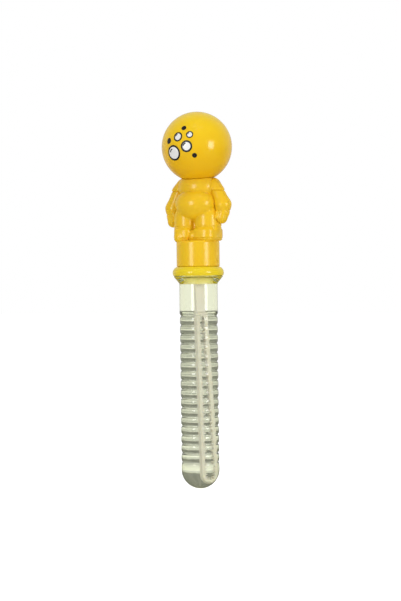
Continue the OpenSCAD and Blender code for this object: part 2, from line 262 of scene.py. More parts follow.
def plastic(name, colour, drift_colour, drift=0.5, gloss=(0.12, 0.26), peel=0.00002, **settings):
    """A moulded plastic with the shared finish and its own colours, gloss and relief."""
    material, tree, shader = new_material(name)
    surface = tree.nodes.new("ShaderNodeGroup")
    surface.node_tree = MOULDED
    surface.inputs["Colour"].default_value = (*colour, 1)
    surface.inputs["Drift colour"].default_value = (*drift_colour, 1)
    surface.inputs["Drift"].default_value = drift
    surface.inputs["Gloss low"].default_value = gloss[0]
    surface.inputs["Gloss high"].default_value = gloss[1]
    bump = add_node(tree, "ShaderNodeBump", Height=surface.outputs["Height"], Distance=peel)
    tree.links.new(surface.outputs["Colour"], shader.inputs["Base Color"])
    tree.links.new(surface.outputs["Roughness"], shader.inputs["Roughness"])
    tree.links.new(bump.outputs["Normal"], shader.inputs["Normal"])
    for label, value in settings.items():
        shader.inputs[label.replace("_", " ")].default_value = value
    return material


def shade_towards_bottom(material, colour, bottom, top):
    """Painted shade: lets a piece's colour run to another one from its top to its bottom, at heights in
    millimetres.
    """
    tree = material.node_tree
    surface = next(node for node in tree.nodes if node.type == "GROUP")
    place = tree.nodes.new("ShaderNodeTexCoord").outputs["Object"]
    height = add_node(tree, "ShaderNodeSeparateXYZ", Vector=place).outputs["Z"]
    mixed = tree.nodes.new("ShaderNodeMix")
    mixed.data_type = "RGBA"
    tree.links.new(spread(tree, height, bottom * MM, top * MM, 1.0, 0.0), mixed.inputs["Factor"])
    mixed.inputs["A"].default_value = surface.inputs["Colour"].default_value
    mixed.inputs["B"].default_value = (*colour, 1)
    tree.links.new(mixed.outputs["Result"], surface.inputs["Colour"])
    return material


def see_through(material, density, colour):
    """A clear piece: it absorbs light along the way through it, and lamps shine on to what it holds."""
    tree = material.node_tree
    out = tree.nodes["Material Output"]
    inside = add_node(tree, "ShaderNodeVolumeAbsorption", Density=density, Color=(*colour, 1))
    tree.links.new(inside.outputs["Volume"], out.inputs["Volume"])
    path = tree.nodes.new("ShaderNodeLightPath").outputs
    lighting = maths(tree, "MAXIMUM", path["Is Shadow Ray"], path["Is Diffuse Ray"])
    open_way = tree.nodes.new("ShaderNodeBsdfTransparent").outputs[0]
    either = add_node(tree, "ShaderNodeMixShader", i0=lighting, i1=tree.nodes["Principled BSDF"].outputs[0],
                      i2=open_way)
    tree.links.new(either.outputs[0], out.inputs["Surface"])
    return material


BODY_YELLOW = plastic("body_yellow", (0.89, 0.565, 0.014), (0.89, 0.50, 0.010), gloss=(0.18, 0.3),
                      Subsurface_Weight=0.12, Subsurface_Radius=(0.004, 0.0022, 0.0004))
# The head's colour runs to a deeper, darker gold towards its bottom: painted shade, where less light reaches
HEAD_YELLOW = shade_towards_bottom(
    plastic("head_yellow", (0.93, 0.66, 0.014), (0.89, 0.54, 0.012), drift=0.3, gloss=(0.12, 0.2),
            Subsurface_Weight=0.1, Subsurface_Radius=(0.004, 0.0022, 0.0004)),
    (0.85, 0.44, 0.004), bottom=HEAD_Z - HEAD_R, top=HEAD_Z + HEAD_R)
RING_LEMON = plastic("ring_lemon", (0.86, 0.66, 0.02), (0.85, 0.61, 0.016), gloss=(0.16, 0.26),
                     Subsurface_Weight=0.15, Subsurface_Radius=(0.004, 0.003, 0.0005))
PIN_YELLOW = plastic("pin_yellow", (0.76, 0.42, 0.015), (0.78, 0.38, 0.012), gloss=(0.3, 0.45))
NATURAL_PLUG = plastic("natural_plug", (0.97, 0.87, 0.44), (0.95, 0.80, 0.34), gloss=(0.22, 0.32),
                       Subsurface_Weight=0.4, Subsurface_Radius=(0.004, 0.0035, 0.002))
WAND_NATURAL = plastic("wand_natural", (0.82, 0.78, 0.75), (0.79, 0.745, 0.68), gloss=(0.25, 0.38),
                       Subsurface_Weight=0.35, Subsurface_Radius=(0.003, 0.0026, 0.002))
PRINT_BLACK = plastic("print_black", (0.012, 0.012, 0.012), (0.03, 0.028, 0.025), gloss=(0.2, 0.35))
PRINT_WHITE = plastic("print_white", (0.86, 0.86, 0.84), (0.8, 0.79, 0.76), gloss=(0.2, 0.35))
CLEAR_TUBE = see_through(
    plastic("clear_tube", (0.985, 0.99, 0.96), (0.96, 0.98, 0.92), drift=0.4, gloss=(0.0, 0.05),
            peel=0.000012, Transmission_Weight=1.0, IOR=1.5),
    density=60.0, colour=(0.78, 0.83, 0.09))
SOLUTION = see_through(
    plastic("solution", (0.985, 0.99, 0.975), (0.97, 0.98, 0.95), drift=0.3, gloss=(0.0, 0.02), peel=0.0,
            Transmission_Weight=1.0, IOR=1.34),
    density=8.0, colour=(0.5, 0.52, 0.4))


# Tube and solution

SMOOTH_L = 20.3
GROOVE_COUNT = 17
GROOVE_PITCH = 6.0
GROOVE_W = 2.2
GROOVE_DEPTH = 0.45
FIRST_GROOVE_Z = 17.6
RIB_CROWN = 0.35
RIB_TOP_Z = LIP_Z - LIP_H - SMOOTH_L
# Points of the tube that are farther out than this are on its outside
OUTSIDE_FROM_R = BORE_R + 0.5
# The lip's flare: points past the tube's outside and past the height at which it starts
LIP_FLARE = [(0, -0.4), (0.12, 0), (0.7, 0.8), (1.5, 1.8), (2.5, 3.0)]
# The even rows of the straight part end a little under the flare
STRAIGHT_END = -0.6
LIP_ROUND = 0.55
# The bore's eased mouth: points past the bore and past the lip's top
BORE_MOUTH = [(0.6, 0), (0.15, -0.2), (0, -0.7)]
BORE_STRAIGHT = -3.0
# Spacing of the rings of points, where there are ribs and where there are none
FINE = 0.3
COARSE = 2.0
TIP_STEPS = 24
# How far the liquid reaches into the wall, and the curve in which its surface climbs the wall
WET_IN = 0.12
CLIMB_H = 0.9
CLIMB_W = 2.4
CLIMB_BEND = 2.2


def rib_tree(sizes):
    """Presses ring grooves into the outside of a tube, and crowns the ribs between them."""
    tree = geometry_tree("ring_ribs", sizes)
    given = tree.nodes.new("NodeGroupInput").outputs
    place = tree.nodes.new("GeometryNodeInputPosition").outputs[0]
    x, y, z = add_node(tree, "ShaderNodeSeparateXYZ", Vector=place).outputs
    square = maths(tree, "ADD", maths(tree, "MULTIPLY", x, x), maths(tree, "MULTIPLY", y, y))
    radius = maths(tree, "SQRT", square)
    # Distance along the tube from the nearest groove
    half_pitch = maths(tree, "MULTIPLY", given["Pitch"], 0.5)
    along = maths(tree, "ADD", maths(tree, "SUBTRACT", z, given["First groove"]), half_pitch)
    past = maths(tree, "SUBTRACT", maths(tree, "MODULO", along, given["Pitch"]), half_pitch)
    off = maths(tree, "ABSOLUTE", past)
    half_width = maths(tree, "MULTIPLY", given["Groove width"], 0.5)
    groove = add_node(tree, "ShaderNodeMapRange", Value=off, From_Min=0.0, From_Max=half_width,
                      To_Min=given["Groove depth"], To_Max=0.0)
    groove.interpolation_type = "SMOOTHSTEP"
    fall = spread(tree, off, 0.0, half_pitch, 1.0, 0.0)
    crown = maths(tree, "MULTIPLY", given["Crown"], maths(tree, "MULTIPLY", fall, fall))
    depth = maths(tree, "ADD", groove.outputs[0], crown)
    scale = maths(tree, "DIVIDE", maths(tree, "SUBTRACT", radius, depth), radius)
    pressed = add_node(tree, "ShaderNodeCombineXYZ", X=maths(tree, "MULTIPLY", x, scale),
                       Y=maths(tree, "MULTIPLY", y, scale), Z=z)
    # Only the outside is pressed, from half a pitch below the first groove to the end of the last
    span = maths(tree, "MULTIPLY", given["Pitch"], maths(tree, "SUBTRACT", given["Grooves"], 1.0))
    above = maths(tree, "GREATER_THAN", z, maths(tree, "SUBTRACT", given["First groove"], half_pitch))
    top = maths(tree, "ADD", maths(tree, "ADD", given["First groove"], span), half_width)
    chosen = maths(tree, "MULTIPLY", maths(tree, "MULTIPLY", above, maths(tree, "LESS_THAN", z, top)),
                   maths(tree, "GREATER_THAN", radius, given["Outside from"]))
    moved = add_node(tree, "GeometryNodeSetPosition", Geometry=given["Geometry"], Selection=chosen,
                     Position=pressed.outputs[0])
    end_tree(tree, moved.outputs[0], given["Material"])
    return tree


def make_tube():
    flare_z = LIP_Z - LIP_H
    outside = arc((0, CREST_R), CREST_R, -90, 0, TIP_STEPS)[1:]
    outside += rows((CREST_R, CREST_R + FINE), (CREST_R, RIB_TOP_Z), FINE)
    outside += rows((TUBE_R, RIB_TOP_Z + 2 * FINE), (TUBE_R, flare_z + STRAIGHT_END), COARSE)
    outside += [(TUBE_R + out, flare_z + up) for out, up in LIP_FLARE]
    outside += arc((LIP_R - LIP_ROUND, LIP_Z - LIP_ROUND), LIP_ROUND, -35, 90, steps=6)
    inside = [(BORE_R + out, LIP_Z + up) for out, up in BORE_MOUTH]
    inside += rows((BORE_R, LIP_Z + BORE_STRAIGHT), (BORE_R, CREST_R), COARSE)
    inside += arc((0, CREST_R), BORE_R, 0, -90, TIP_STEPS)[1:-1]
    blank = lathe("tube_blank", [(0, 0)] + outside + inside + [(0, CREST_R - BORE_R)], CLEAR_TUBE)
    sizes = {"Pitch": GROOVE_PITCH * MM, "Groove width": GROOVE_W * MM, "Groove depth": GROOVE_DEPTH * MM,
             "First groove": FIRST_GROOVE_Z * MM, "Grooves": GROOVE_COUNT, "Crown": RIB_CROWN * MM,
             "Outside from": OUTSIDE_FROM_R * MM, "Material": CLEAR_TUBE}
    mesh = run_tree(blank, rib_tree(sizes), sizes)
    tube = finish_piece("ribbed_tube", mesh, CLEAR_TUBE)
    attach(tube, "bottle")
    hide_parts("tube")


def make_solution():
    # The liquid wets the wall: it reaches a little way into it, so that no air shows between the two
    wet_r = BORE_R + WET_IN
    outline = [(0, CREST_R - wet_r)]
    outline += arc((0, CREST_R), wet_r, -90, 0, TIP_STEPS)[1:]
    outline += rows((wet_r, CREST_R + COARSE), (wet_r, FILL_Z + CLIMB_H), COARSE)
    for share in (0.05, 0.15, 0.3, 0.5, 0.75, 1.0):
        outline += [(BORE_R - CLIMB_W * share, FILL_Z + CLIMB_H * (1 - share) ** CLIMB_BEND)]
    outline += [((BORE_R - CLIMB_W) * share, FILL_Z) for share in (0.66, 0.33)]
    outline += [(0, FILL_Z)]
    solution = lathe("soap_solution", outline, SOLUTION, segments=128)
    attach(solution, "bottle")
    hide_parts("bubble_solution")


# Wand

STEM_W = 6.6
STEM_EDGE = 0.35
BLADE_T = 3.0
LOOP_W = 9.4
LOOP_LEG_W = 2.0
SLOT_DROP = 24.0
TOOTH_PITCH = 1.7
TOOTH_H = 1.2
TOOTH_SLIM = 0.6
WEDGE_SIDES = 3
# The stem ends a little under the plug, and its peg is rooted some way down in it
STEM_GAP = 0.3
PEG_R = 2.5
PEG_ROOT = 2.0
# Turn of the blade, and the angle and direction of the wand's lean, in degrees
WAND_TURN = 58.0
WAND_LEAN = 1.89
LEAN_TO = 29.0


def tooth_tree(sizes):
    """Sets small wedges along a line, a pitch apart, each pointing into the loop."""
    tree = geometry_tree("loop_teeth", sizes)
    given = tree.nodes.new("NodeGroupInput").outputs
    points = tree.nodes.new("GeometryNodeCurveToPoints")
    points.mode = "LENGTH"
    tree.links.new(given["Geometry"], points.inputs["Curve"])
    tree.links.new(given["Pitch"], points.inputs["Length"])
    wedge = tree.nodes.new("GeometryNodeMeshCylinder")
    wedge.inputs["Vertices"].default_value = WEDGE_SIDES
    tree.links.new(given["Tooth"], wedge.inputs["Radius"])
    tree.links.new(given["Length"], wedge.inputs["Depth"])
    slim = add_node(tree, "ShaderNodeCombineXYZ", X=1.0, Y=given["Slim"], Z=1.0)
    facing = tree.nodes.new("FunctionNodeAlignRotationToVector")
    facing.axis = "X"
    facing.pivot_axis = "Z"
    tree.links.new(points.outputs["Normal"], facing.inputs["Vector"])
    placed = add_node(tree, "GeometryNodeInstanceOnPoints", Points=points.outputs["Points"],
                      Instance=wedge.outputs["Mesh"], Rotation=facing.outputs[0], Scale=slim.outputs[0])
    end_tree(tree, placed.outputs[0], given["Material"])
    return tree


def flat_curve(name, loops, depth, edge):
    """A flat plate from closed outlines in millimetres, the first outside the others, with round edges."""
    data = bpy.data.curves.new(name, "CURVE")
    data.dimensions = "2D"
    data.fill_mode = "BOTH"
    data.extrude = (depth / 2 - edge) * MM
    data.bevel_depth = edge * MM
    data.bevel_resolution = 3
    data.offset = -edge * MM
    for loop in loops:
        spline = data.splines.new("POLY")
        spline.points.add(len(loop) - 1)
        for point, (x, y) in zip(spline.points, loop):
            point.co = (x * MM, y * MM, 0, 1)
        spline.use_cyclic_u = True
    return data


def as_mesh(data):
    holder = bpy.data.objects.new(data.name, data)
    bpy.context.scene.collection.objects.link(holder)
    bpy.context.view_layer.update()
    mesh = bpy.data.meshes.new_from_object(holder.evaluated_get(bpy.context.evaluated_depsgraph_get()))
    bpy.data.objects.remove(holder)
    return mesh


def make_wand():
    lowest = low("wand")[2]
    top = low("plug")[2] - STEM_GAP
    length = top - lowest
    end_y = LOOP_W / 2 - length
    half_stem, half_loop = STEM_W / 2, LOOP_W / 2
    half_top, half_end = half_stem - LOOP_LEG_W, half_loop - LOOP_LEG_W
    outer = [(-half_stem, 0), (half_stem, 0), (half_stem, -SLOT_DROP)]
    outer += arc((0, end_y), half_loop, 0, -180, steps=32)
    outer += [(-half_stem, -SLOT_DROP)]
    edge_line = [(-half_top, -SLOT_DROP)]
    edge_line += arc((0, end_y), half_end, 180, 360, steps=24)
    edge_line += [(half_top, -SLOT_DROP)]
    inner = edge_line + arc((0, -SLOT_DROP), half_top, 0, 180, steps=12)[1:-1]
    blade = as_mesh(flat_curve("blade", [outer, inner], BLADE_T, STEM_EDGE))

    line = bpy.data.curves.new("loop_edge", "CURVE")
    line.dimensions = "3D"
    spline = line.splines.new("POLY")
    spline.points.add(len(edge_line) - 1)
    # The line runs down the right edge and up the left one, so its normals point into the loop
    for point, (x, y) in zip(spline.points, edge_line[::-1]):
        point.co = (x * MM, y * MM, 0, 1)
    line.twist_mode = "Z_UP"
    edge = bpy.data.objects.new("loop_edge", line)
    bpy.context.scene.collection.objects.link(edge)
    sizes = {"Pitch": TOOTH_PITCH * MM, "Tooth": TOOTH_H * MM, "Length": (BLADE_T - STEM_EDGE) * MM,
             "Slim": TOOTH_SLIM, "Material": WAND_NATURAL}
    teeth = run_tree(edge, tooth_tree(sizes), sizes)

    # The blade lies flat with its top at the origin: it is stood up, turned and leant about its peg
    pivot_z = high("wand")[2]
    stand = Matrix.Rotation(math.radians(90), 4, "X")
    hang = Matrix.Translation((0, 0, (top - pivot_z) * MM))
    turn = Matrix.Rotation(math.radians(WAND_TURN - LEAN_TO), 4, "Z")
    tip = Matrix.Rotation(math.radians(-WAND_LEAN), 4, "Y")
    aim = Matrix.Rotation(math.radians(LEAN_TO), 4, "Z")
    lift = Matrix.Translation((0, 0, pivot_z * MM))
    place = lift @ aim @ tip @ turn @ hang @ stand
    work = bmesh.new()
    for mesh in (blade, teeth):
        mesh.transform(place)
        work.from_mesh(mesh)
    bmesh.ops.create_cone(work, cap_ends=True, segments=48, radius1=PEG_R * MM, radius2=PEG_R * MM,
                          depth=(pivot_z - top + PEG_ROOT) * MM,
                          matrix=Matrix.Translation((0, 0, (pivot_z + top - PEG_ROOT) / 2 * MM)))
    whole = bpy.data.meshes.new("toothed_wand")
    work.to_mesh(whole)
    work.free()
    face_outwards(whole)
    wand = finish_piece("toothed_wand", whole, WAND_NATURAL)
    smooth_by_angle(wand)
    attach(wand, "cap_and_wand")
    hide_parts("wand")


# Cap ring

RING_BELT_H = 1.9
RING_EDGE = 0.4
RING_PRESS = 0.04
SPIGOT_GAP = 0.1
SPIGOT_FOOT = 1.0
SPIGOT_WALL = 1.6
WEB_T = 2.0
WEB_HOLE_R = 6.1


def make_cap_ring():
    round_r = RING_H - RING_BELT_H
    middle = (RING_R - round_r, RING_Z + RING_BELT_H)
    spigot_r = COLLAR_R - SHELL_WALL - SPIGOT_GAP
    spigot_bore_r = spigot_r - SPIGOT_WALL
    web_z = RING_Z + WEB_T
    # The ring is pressed down on the lip, so no air shows between them
    under = LIP_Z - RING_PRESS
    start = math.degrees(math.asin((under - middle[1]) / round_r))
    outline = [(WEB_HOLE_R, under)]
    outline += rows((WEB_HOLE_R + RING_EDGE, under), (middle[0], under), step=1.5)
    outline += arc(middle, round_r, start, 90, steps=28)
    outline += [(spigot_r + RING_EDGE, COLLAR_Z), (spigot_r, COLLAR_Z + RING_EDGE)]
    outline += rows((spigot_r, COLLAR_Z + SPIGOT_FOOT), (spigot_r, RING_TOP_Z - RING_EDGE), step=3.0)
    outline += [(spigot_r - RING_EDGE, RING_TOP_Z), (spigot_bore_r, RING_TOP_Z)]
    outline += rows((spigot_bore_r, RING_TOP_Z - RING_EDGE), (spigot_bore_r, web_z + RING_EDGE), step=3.0)
    outline += [(spigot_bore_r - RING_EDGE, web_z), (WEB_HOLE_R, web_z)]
    ring = lathe("lemon_ring", outline, RING_LEMON)
    smooth_by_angle(ring)
    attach(ring, "cap_and_wand")
    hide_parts("cap_ring")


# Doll

def ball(p, centre, radius):
    return np.linalg.norm(p - np.array(centre, np.float32), axis=1) - radius


def egg(p, centre, radii):
    q = (p - np.array(centre, np.float32)) / np.array(radii, np.float32)
    near = np.linalg.norm(q, axis=1)
    slope = np.linalg.norm(q / np.array(radii, np.float32), axis=1)
    return near * (near - 1) / np.maximum(slope, TINY)


def limb(p, start, end, start_r, end_r):
    a = np.array(start, np.float32)
    run = np.array(end, np.float32) - a
    share = np.clip((p - a) @ run / (run @ run), 0, 1)
    return np.linalg.norm(p - a - share[:, None] * run, axis=1) - (start_r + share * (end_r - start_r))


def drum(p, radius, bottom, top, rounding):
    """An upright cylinder on the axis with its edges rounded."""
    out = np.hypot(p[:, 0], p[:, 1]) - radius + rounding
    up = np.abs(p[:, 2] - (bottom + top) / 2) - (top - bottom) / 2 + rounding
    return rounded_corner(out, up, rounding)


def rounded_corner(a, b, rounding):
    inside = np.minimum(np.maximum(a, b), 0)
    return inside + np.hypot(np.maximum(a, 0), np.maximum(b, 0)) - rounding


def join(a, b, soft):
    """Union of two forms whose meeting line is filled over about the given width."""
    share = np.clip(0.5 + 0.5 * (b - a) / soft, 0, 1)
    return b + (a - b) * share - soft * share * (1 - share)


def line_mark(off, width, depth):
    """Depth of an engraved line, from the distance to its middle."""
    return depth * np.exp(-(off / width) ** 2)


def below(value, edge, soft):
    """1 where the value is under the edge, and 0 above it."""
    return np.clip(0.5 - (value - edge) / soft, 0, 1)


# Heights on the doll are measured from the top of its collar. An egg has a centre and its radii
LEG_X = 7.2
LEG_R = 9.1
HIP_H = 15.0
CUFF_H = 8.6
CUFF_LINE_UP = 0.3
# The doll's right foot is a little ahead of its left one, and its toe hangs over the collar
RIGHT_STEP = -0.4
LEFT_STEP = 0.5
TOE = ((-9.3, -7.2, 1.8), (3.4, 4.2, 3.8))
RIGHT_SHOE_HALF_W = 7.3
LEFT_SHOE_HALF_W = 8.2
SHOE_HALF_L = 10.5
SHOE_ROUND = 2.0
# 2 would make the shoes oval and more makes them boxier
SHOE_SQUARE = 3.0
SHOE_LOW = -0.4
SHOE_TOP = 8.3
SOLE_LINE_H = 1.4
# The legs meet behind the groove between them, and the toes meet in front
INSEAM = ((0, 0.5, 9.5), (3.0, 5.0, 8.5))
BETWEEN_TOES = ((0, -5.4, 3.0), (3.6, 4.2, 4.2))
SHOE_GAP_TILT = 0.4
CROTCH_LOW = 6.6
CROTCH_TOP = 14.6
SEAT = (0, 0.5, 17)
SEAT_R = 7.0
FLANK = ((0, 2, 24), (15.4, 9, 13))
BELLY = ((0, -2.6, 24), (14, 11.6, 10.8))
CHEST = ((0, 0, 35), (13.2, 10.4, 11))
# Places along the left arm, with the radius at each
SHOULDER = (10.4, 2.3, 34.9)
SHOULDER_R = 6.4
SLEEVE_END = (14, 1.6, 32.0)
SLEEVE_R = 5.3
SLEEVE_HEM_H = 32.6
HEM_ROUND = 0.5
ELBOW = (13.6, 1.6, 34)
ELBOW_R = 4.4
FOREARM = (18.5, 1.6, 23.2)
FOREARM_R = 5.2
WRIST = (18.6, 1.4, 19.2)
WRIST_R = 4.5
PALM = (18.6, 1.0, 17.5)
PALM_R = 4.2
HAND = (18.2, 0.3, 14.5)
HAND_R = 3.8
THUMB = (16.4, -2.0, 18.4)
THUMB_R = 1.6
THUMB_TIP = (15.9, -3.0, 15.0)
THUMB_TIP_R = 1.4
FINGER_Y = (-1.4, 0.3, 2.0)
# The right forearm and hand hang lower, and both arms sit a little to the doll's right
RIGHT_LOW = 1.8
ARM_SHIFT = 0.35
COLLAR_ROUND = 1.6
SKIRT_ROUND = 0.3
# A small round notch in the side of the collar
NOTCH_H = 3.4
NOTCH_R = 0.8
# The neck pin's seat, the cut above it and the neckline under the head
PIN_FLANGE_T = 2.2
PIN_FLANGE_W = 1.5
PIN_GAP = 0.1
PIN_SEAT_ROUND = 0.05
PIN_CUT_H = 9.0
NECKLINE_GAP = 0.3
# Width and depth of the lines pressed into the doll
LINE = {"cuff": (0.4, 0.3), "sole": (0.3, 0.45), "shoe gap": (0.4, 0.5), "crotch": (0.9, 2.6),
        "waist": (0.5, 0.3), "finger": (0.3, 0.35), "wrist": (0.35, 0.3), "hem": (0.3, 0.45),
        "arm": (0.4, 0.35)}
# Widths over which a form is filled into the next one
FILL = {"shoe": 0.4, "toe": 1.5, "legs": 0.3, "inseam": 0.5, "between toes": 0.8, "hips": 0.7,
        "waist": 0.6, "seat": 0.8, "flank": 0.8, "elbow": 2.0, "hand": 0.9, "thumb": 0.5, "sleeve": 0.3,
        "arms": 0.4}
# Heights over which lines fade out
FINGER_FADE = 2.0
CROTCH_FADE = 2.0
SHOE_GAP_FADE = 1.0


def leg_and_shoe(p, side, step, half_w):
    """One leg and its shoe. Side is 1 for the doll's left and -1 for its right."""
    q = p * np.array((side, 1, 1), np.float32) - np.array((LEG_X, step, 0), np.float32)
    h = q[:, 2]
    leg = limb(q, (0, 0, HIP_H), (0, 0, CUFF_H), LEG_R, LEG_R)
    leg = leg + line_mark(h - CUFF_H - CUFF_LINE_UP, *LINE["cuff"])
    reach = np.abs(q[:, 0] / half_w) ** SHOE_SQUARE + np.abs(q[:, 1] / SHOE_HALF_L) ** SHOE_SQUARE
    foot = (reach ** (1 / SHOE_SQUARE) - 1) * half_w
    rise = np.abs(h - (SHOE_TOP + SHOE_LOW) / 2) - (SHOE_TOP - SHOE_LOW) / 2
    shoe = rounded_corner(foot + SHOE_ROUND, rise + SHOE_ROUND, SHOE_ROUND)
    shoe = shoe + line_mark(h - SOLE_LINE_H, *LINE["sole"])
    return join(leg, shoe, FILL["shoe"])


def arm_and_hand(p, side, low_by):
    """An arm with its sleeve and mitten hand. The forearm and hand hang lower by the given amount."""
    q = p * np.array((side, 1, 1), np.float32)
    hung = q + np.array((0, 0, low_by), np.float32)
    drop = np.array((0, 0, low_by))
    sleeve = limb(q, SHOULDER, SLEEVE_END, SHOULDER_R, SLEEVE_R)
    sleeve = rounded_corner(sleeve + HEM_ROUND, SLEEVE_HEM_H - q[:, 2] + HEM_ROUND, HEM_ROUND)
    upper = limb(q, ELBOW, FOREARM - drop, ELBOW_R, FOREARM_R)
    lower = limb(hung, FOREARM, WRIST, FOREARM_R, WRIST_R)
    hand = limb(hung, PALM, HAND, PALM_R, HAND_R)
    for y in FINGER_Y:
        hand = hand + line_mark(q[:, 1] - y, *LINE["finger"]) * below(hung[:, 2], HAND[2], FINGER_FADE)
    hand = join(hand, limb(hung, THUMB, THUMB_TIP, THUMB_R, THUMB_TIP_R), FILL["thumb"])
    arm = join(join(upper, lower, FILL["elbow"]), hand, FILL["hand"])
    arm = arm + line_mark(hung[:, 2] - WRIST[2], *LINE["wrist"])
    return join(arm, sleeve, FILL["sleeve"]) + line_mark(q[:, 2] - SLEEVE_HEM_H, *LINE["hem"])


def doll_distance(p):
    """Signed distance to the doll, with heights measured from the top of its collar."""
    h = p[:, 2]
    chest = egg(p, *CHEST)
    belly = egg(p, *BELLY)
    trunk = join(chest, belly, FILL["waist"]) + line_mark(chest - belly, *LINE["waist"])
    seat = limb(p, SEAT, (0, 0, CHEST[0][2]), SEAT_R, CHEST[1][1] - SHELL_WALL)
    trunk = join(join(trunk, seat, FILL["seat"]), egg(p, *FLANK), FILL["flank"])
    right = join(leg_and_shoe(p, -1, RIGHT_STEP, RIGHT_SHOE_HALF_W), egg(p, *TOE), FILL["toe"])
    legs = join(right, leg_and_shoe(p, 1, LEFT_STEP, LEFT_SHOE_HALF_W), FILL["legs"])
    # The legs part in a groove above the shoes, which touch
    between = below(h, CROTCH_TOP, CROTCH_FADE) * (1 - below(h, CROTCH_LOW, CROTCH_FADE))
    legs = legs + line_mark(p[:, 0], *LINE["crotch"]) * between
    legs = join(legs, egg(p, *INSEAM), FILL["inseam"])
    legs = join(legs, egg(p, *BETWEEN_TOES), FILL["between toes"])
    gap = p[:, 0] + SHOE_GAP_TILT * (CROTCH_LOW - h)
    legs = legs + line_mark(gap, *LINE["shoe gap"]) * below(h, CROTCH_LOW, SHOE_GAP_FADE)
    body = join(trunk, legs, FILL["hips"])
    across = p + np.array((ARM_SHIFT, 0, 0), np.float32)
    arms = np.minimum(arm_and_hand(across, 1, 0), arm_and_hand(across, -1, RIGHT_LOW))
    body = join(body, arms, FILL["arms"]) + line_mark(body - arms, *LINE["arm"])

    # The collar's upper edge is round and its lower one sharper
    collar = drum(p, COLLAR_R, -COLLAR_H, 0, COLLAR_ROUND)
    skirt = drum(p, COLLAR_R, -COLLAR_H, -COLLAR_H / 2, SKIRT_ROUND)
    body = np.minimum(body, np.minimum(collar, skirt))

    # Hollows: the collar's bore, the body, the pin's seat, the cut over it, the neckline and the notch
    pin_low, pin_high = low("neck_pin")[2] - DOLL_Z, high("neck_pin")[2] - DOLL_Z
    flange_r = high("neck_pin")[0]
    hollow_r = CHEST[1][1] - 2 * SHELL_WALL
    hollow_top = pin_low - PIN_FLANGE_T - SHELL_WALL - hollow_r
    hollows = [
        drum(p, COLLAR_R - SHELL_WALL, -2 * COLLAR_H, -SHELL_WALL, SKIRT_ROUND),
        limb(p, SEAT, (0, 0, hollow_top), SEAT_R - SHELL_WALL, hollow_r),
        drum(p, flange_r + PIN_GAP, pin_low - PIN_GAP, pin_low + PIN_FLANGE_T + PIN_GAP, PIN_SEAT_ROUND),
        drum(p, flange_r - PIN_FLANGE_W + PIN_GAP, pin_low, pin_high + PIN_CUT_H, PIN_SEAT_ROUND),
        ball(p, (0, 0, HEAD_Z - DOLL_Z), HEAD_R + NECKLINE_GAP),
        ball(p, (COLLAR_R, 0, NOTCH_H - COLLAR_H), NOTCH_R),
    ]
    for hollow in hollows:
        body = np.maximum(body, -hollow)
    return body


PARTING_ROUND = 0.16


def eased_half(form, past):
    """The half of a form on one side of the parting line, along which its edge is rounded."""
    return rounded_corner(form + PARTING_ROUND, past + PARTING_ROUND, PARTING_ROUND)


def front_distance(p):
    return eased_half(doll_distance(p), p[:, 1])


def back_distance(p):
    return eased_half(doll_distance(p), -p[:, 1])


def skin(distance, lowest, highest, step, batches=12):
    """A closed mesh of quads round a form: one point in each cell that the surface crosses."""
    axes = [np.arange(a, b + step, step, dtype=np.float32) for a, b in zip(lowest, highest)]
    shape = tuple(len(a) for a in axes)
    grid = np.stack(np.meshgrid(*axes, indexing="ij"), -1).reshape(-1, 3)
    field = np.concatenate([distance(part) for part in np.array_split(grid, batches)]).reshape(shape)
    solid = field < 0
    cells = tuple(n - 1 for n in shape)

    def corner(array, i, j, k):
        return array[i:i + cells[0], j:j + cells[1], k:k + cells[2]]

    corners = [(i, j, k) for i in (0, 1) for j in (0, 1) for k in (0, 1)]
    filled = sum(corner(solid, *c).astype(np.int8) for c in corners)
    crossed = (filled > 0) & (filled < len(corners))
    number = np.full(cells, -1, np.int64)
    number[crossed] = np.arange(crossed.sum())
    where = np.argwhere(crossed)
    points = np.zeros((len(where), 3))
    count = np.zeros(len(where))
    for c in corners:
        for axis in range(3):
            if c[axis]:
                continue
            d = tuple(v + (a == axis) for a, v in enumerate(c))
            here = field[tuple((where + c).T)]
            there = field[tuple((where + d).T)]
            cut = (here < 0) != (there < 0)
            share = np.where(cut, here / np.where(here == there, 1, here - there), 0)
            spot = np.array(c, float) + np.eye(3)[axis] * share[:, None]
            points += spot * cut[:, None]
            count += cut
    points = (where + points / count[:, None]) * step + np.array(lowest)

    # Each grid line that the surface crosses gives a quad of the four cells round it
    faces = []
    for axis in range(3):
        u, v = [a for a in range(3) if a != axis]
        ahead = np.roll(solid, -1, axis)
        edges = np.argwhere(solid != ahead)
        edges = edges[(edges[:, axis] < shape[axis] - 1) & (edges[:, u] > 0) & (edges[:, v] > 0)]
        du, dv = np.eye(3, dtype=int)[u], np.eye(3, dtype=int)[v]
        quad = [number[tuple(cell.T)] for cell in (edges - du - dv, edges - dv, edges, edges - du)]
        quad = np.stack(quad, 1)
        turned = solid[tuple(edges.T)] == (axis != 1)
        faces.append(np.where(turned[:, None], quad, quad[:, ::-1]))
    return settle(points, distance), np.concatenate(faces)


def settle(points, distance, steps=3, reach=0.02, flattest=0.2, furthest=0.1):
    """Moves the points on to the surface of the form."""
    points = points.astype(np.float32)
    nudges = reach * np.eye(3, dtype=np.float32)
    for _ in range(steps):
        here = distance(points)
        slope = np.stack([distance(points + nudge) - here for nudge in nudges], 1) / reach
        length = np.maximum((slope ** 2).sum(1), flattest)
        points = points - np.clip(here / length, -furthest, furthest)[:, None] * slope
    return points


# The doll's grid: its step, its reach to the sides, to the front and back, and up, and its margin
GRID_STEP = 0.3
GRID_REACH = (25.2, 16.2, 43.2)
GRID_MARGIN = 0.6


